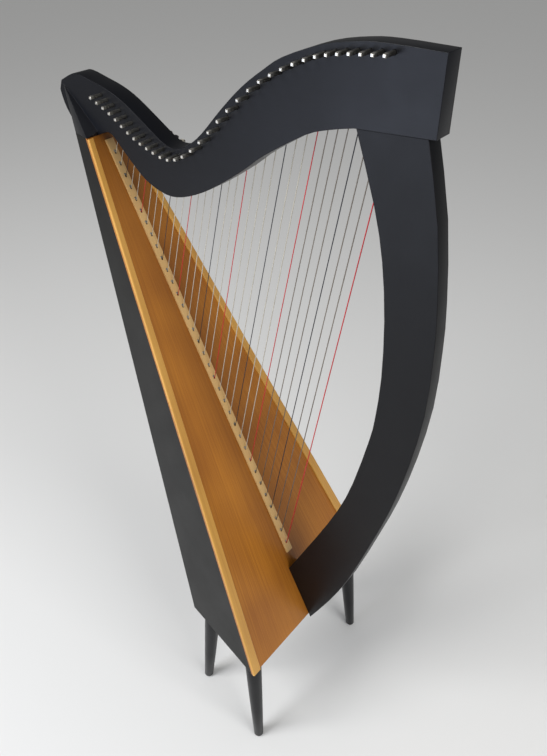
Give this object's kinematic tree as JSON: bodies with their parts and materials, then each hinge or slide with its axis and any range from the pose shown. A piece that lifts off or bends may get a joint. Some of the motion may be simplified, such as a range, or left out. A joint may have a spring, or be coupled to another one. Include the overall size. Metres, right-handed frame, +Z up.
{
  "type": "harp",
  "caption": "Free-standing floor harp: tapering soundbox on splayed legs, bowed column, curved neck, strings and turning tuning pins.",
  "frame": {"origin": "on the floor, below the middle of the harp's bounding box", "axes": "+X from the soundbox to the column, +Y to the player's left, +Z up"},
  "size_m": [0.7998, 0.436, 1.4783],
  "materials": {
    "black_lacquer": "black satin lacquer",
    "cedar": "satin, orange-brown, grain along the board",
    "light_wood": "satin, honey coloured",
    "bare_wood": "bare",
    "steel": "plain",
    "nickel": "dull nickel",
    "string_gut": "translucent, pale"
  },
  "bodies": {
    "frame": {"soundbox_side_left": "black_lacquer", "soundbox_side_right": "black_lacquer", "soundbox_back": "black_lacquer", "bottom_panel": "black_lacquer", "neck": "black_lacquer", "column": "black_lacquer", "leg_front_left": "black_lacquer", "leg_front_right": "black_lacquer", "leg_rear_left": "black_lacquer", "leg_rear_right": "black_lacquer", "soundboard": "cedar", "edge_batten_left": "light_wood", "edge_batten_right": "light_wood", "string_rib": "light_wood", "top_block": "bare_wood", "foot_block": "bare_wood", "inner_rib": "bare_wood", "column_dowel": "bare_wood", "shoulder_dowel": "bare_wood", "stud_front_left": "steel", "stud_front_right": "steel", "stud_rear_left": "steel", "stud_rear_right": "steel", "column_bolt_1": "steel", "column_bolt_2": "steel", "strings": "string_gut"},
    "tuning_pin_01": {"tuning_pin_01": "nickel"},
    "tuning_pin_02": {"tuning_pin_02": "nickel"},
    "tuning_pin_03": {"tuning_pin_03": "nickel"},
    "tuning_pin_04": {"tuning_pin_04": "nickel"},
    "tuning_pin_05": {"tuning_pin_05": "nickel"},
    "tuning_pin_06": {"tuning_pin_06": "nickel"},
    "tuning_pin_07": {"tuning_pin_07": "nickel"},
    "tuning_pin_08": {"tuning_pin_08": "nickel"},
    "tuning_pin_09": {"tuning_pin_09": "nickel"},
    "tuning_pin_10": {"tuning_pin_10": "nickel"},
    "tuning_pin_11": {"tuning_pin_11": "nickel"},
    "tuning_pin_12": {"tuning_pin_12": "nickel"},
    "tuning_pin_13": {"tuning_pin_13": "nickel"},
    "tuning_pin_14": {"tuning_pin_14": "nickel"},
    "tuning_pin_15": {"tuning_pin_15": "nickel"},
    "tuning_pin_16": {"tuning_pin_16": "nickel"},
    "tuning_pin_17": {"tuning_pin_17": "nickel"},
    "tuning_pin_18": {"tuning_pin_18": "nickel"},
    "tuning_pin_19": {"tuning_pin_19": "nickel"},
    "tuning_pin_20": {"tuning_pin_20": "nickel"},
    "tuning_pin_21": {"tuning_pin_21": "nickel"},
    "tuning_pin_22": {"tuning_pin_22": "nickel"},
    "tuning_pin_23": {"tuning_pin_23": "nickel"},
    "tuning_pin_24": {"tuning_pin_24": "nickel"},
    "tuning_pin_25": {"tuning_pin_25": "nickel"},
    "tuning_pin_26": {"tuning_pin_26": "nickel"},
    "tuning_pin_27": {"tuning_pin_27": "nickel"},
    "tuning_pin_28": {"tuning_pin_28": "nickel"},
    "tuning_pin_29": {"tuning_pin_29": "nickel"},
    "tuning_pin_30": {"tuning_pin_30": "nickel"},
    "tuning_pin_31": {"tuning_pin_31": "nickel"},
    "tuning_pin_32": {"tuning_pin_32": "nickel"},
    "tuning_pin_33": {"tuning_pin_33": "nickel"},
    "tuning_pin_34": {"tuning_pin_34": "nickel"}
  },
  "joints": [
    {"name": "pin_turn_01", "type": "hinge", "parent": "frame", "child": "tuning_pin_01", "pos_m": [-0.28992, -0.0047, 1.31703], "axis": [0, 1, 0], "continuous": true},
    {"name": "pin_turn_02", "type": "hinge", "parent": "frame", "child": "tuning_pin_02", "pos_m": [-0.27517, -0.0047, 1.3109], "axis": [0, 1, 0], "continuous": true},
    {"name": "pin_turn_03", "type": "hinge", "parent": "frame", "child": "tuning_pin_03", "pos_m": [-0.26042, -0.0047, 1.30478], "axis": [0, 1, 0], "continuous": true},
    {"name": "pin_turn_04", "type": "hinge", "parent": "frame", "child": "tuning_pin_04", "pos_m": [-0.24593, -0.0047, 1.29803], "axis": [0, 1, 0], "continuous": true},
    {"name": "pin_turn_05", "type": "hinge", "parent": "frame", "child": "tuning_pin_05", "pos_m": [-0.23182, -0.0047, 1.29019], "axis": [0, 1, 0], "continuous": true},
    {"name": "pin_turn_06", "type": "hinge", "parent": "frame", "child": "tuning_pin_06", "pos_m": [-0.21793, -0.0047, 1.28174], "axis": [0, 1, 0], "continuous": true},
    {"name": "pin_turn_07", "type": "hinge", "parent": "frame", "child": "tuning_pin_07", "pos_m": [-0.20403, -0.0047, 1.27344], "axis": [0, 1, 0], "continuous": true},
    {"name": "pin_turn_08", "type": "hinge", "parent": "frame", "child": "tuning_pin_08", "pos_m": [-0.18993, -0.0047, 1.26603], "axis": [0, 1, 0], "continuous": true},
    {"name": "pin_turn_09", "type": "hinge", "parent": "frame", "child": "tuning_pin_09", "pos_m": [-0.17559, -0.0047, 1.26004], "axis": [0, 1, 0], "continuous": true},
    {"name": "pin_turn_10", "type": "hinge", "parent": "frame", "child": "tuning_pin_10", "pos_m": [-0.161, -0.0047, 1.2552], "axis": [0, 1, 0], "continuous": true},
    {"name": "pin_turn_11", "type": "hinge", "parent": "frame", "child": "tuning_pin_11", "pos_m": [-0.14592, -0.0047, 1.25103], "axis": [0, 1, 0], "continuous": true},
    {"name": "pin_turn_12", "type": "hinge", "parent": "frame", "child": "tuning_pin_12", "pos_m": [-0.12982, -0.0047, 1.24703], "axis": [0, 1, 0], "continuous": true},
    {"name": "pin_turn_13", "type": "hinge", "parent": "frame", "child": "tuning_pin_13", "pos_m": [-0.11292, -0.0047, 1.24603], "axis": [0, 1, 0], "continuous": true},
    {"name": "pin_turn_14", "type": "hinge", "parent": "frame", "child": "tuning_pin_14", "pos_m": [-0.09586, -0.0047, 1.25022], "axis": [0, 1, 0], "continuous": true},
    {"name": "pin_turn_15", "type": "hinge", "parent": "frame", "child": "tuning_pin_15", "pos_m": [-0.07792, -0.0047, 1.25903], "axis": [0, 1, 0], "continuous": true},
    {"name": "pin_turn_16", "type": "hinge", "parent": "frame", "child": "tuning_pin_16", "pos_m": [-0.05829, -0.0047, 1.27319], "axis": [0, 1, 0], "continuous": true},
    {"name": "pin_turn_17", "type": "hinge", "parent": "frame", "child": "tuning_pin_17", "pos_m": [-0.03793, -0.0047, 1.29103], "axis": [0, 1, 0], "continuous": true},
    {"name": "pin_turn_18", "type": "hinge", "parent": "frame", "child": "tuning_pin_18", "pos_m": [-0.01769, -0.0047, 1.31092], "axis": [0, 1, 0], "continuous": true},
    {"name": "pin_turn_19", "type": "hinge", "parent": "frame", "child": "tuning_pin_19", "pos_m": [0.00264, -0.0047, 1.33197], "axis": [0, 1, 0], "continuous": true},
    {"name": "pin_turn_20", "type": "hinge", "parent": "frame", "child": "tuning_pin_20", "pos_m": [0.02307, -0.0047, 1.35203], "axis": [0, 1, 0], "continuous": true},
    {"name": "pin_turn_21", "type": "hinge", "parent": "frame", "child": "tuning_pin_21", "pos_m": [0.04382, -0.0047, 1.37093], "axis": [0, 1, 0], "continuous": true},
    {"name": "pin_turn_22", "type": "hinge", "parent": "frame", "child": "tuning_pin_22", "pos_m": [0.06467, -0.0047, 1.38883], "axis": [0, 1, 0], "continuous": true},
    {"name": "pin_turn_23", "type": "hinge", "parent": "frame", "child": "tuning_pin_23", "pos_m": [0.08507, -0.0047, 1.40403], "axis": [0, 1, 0], "continuous": true},
    {"name": "pin_turn_24", "type": "hinge", "parent": "frame", "child": "tuning_pin_24", "pos_m": [0.105, -0.0047, 1.41641], "axis": [0, 1, 0], "continuous": true},
    {"name": "pin_turn_25", "type": "hinge", "parent": "frame", "child": "tuning_pin_25", "pos_m": [0.12472, -0.0047, 1.42717], "axis": [0, 1, 0], "continuous": true},
    {"name": "pin_turn_26", "type": "hinge", "parent": "frame", "child": "tuning_pin_26", "pos_m": [0.14411, -0.0047, 1.43661], "axis": [0, 1, 0], "continuous": true},
    {"name": "pin_turn_27", "type": "hinge", "parent": "frame", "child": "tuning_pin_27", "pos_m": [0.16307, -0.0047, 1.44503], "axis": [0, 1, 0], "continuous": true},
    {"name": "pin_turn_28", "type": "hinge", "parent": "frame", "child": "tuning_pin_28", "pos_m": [0.1812, -0.0047, 1.45174], "axis": [0, 1, 0], "continuous": true},
    {"name": "pin_turn_29", "type": "hinge", "parent": "frame", "child": "tuning_pin_29", "pos_m": [0.19862, -0.0047, 1.45646], "axis": [0, 1, 0], "continuous": true},
    {"name": "pin_turn_30", "type": "hinge", "parent": "frame", "child": "tuning_pin_30", "pos_m": [0.21607, -0.0047, 1.46003], "axis": [0, 1, 0], "continuous": true},
    {"name": "pin_turn_31", "type": "hinge", "parent": "frame", "child": "tuning_pin_31", "pos_m": [0.23381, -0.0047, 1.46275], "axis": [0, 1, 0], "continuous": true},
    {"name": "pin_turn_32", "type": "hinge", "parent": "frame", "child": "tuning_pin_32", "pos_m": [0.25156, -0.0047, 1.46467], "axis": [0, 1, 0], "continuous": true},
    {"name": "pin_turn_33", "type": "hinge", "parent": "frame", "child": "tuning_pin_33", "pos_m": [0.26932, -0.0047, 1.46627], "axis": [0, 1, 0], "continuous": true},
    {"name": "pin_turn_34", "type": "hinge", "parent": "frame", "child": "tuning_pin_34", "pos_m": [0.28708, -0.0047, 1.46803], "axis": [0, 1, 0], "continuous": true}
  ]
}
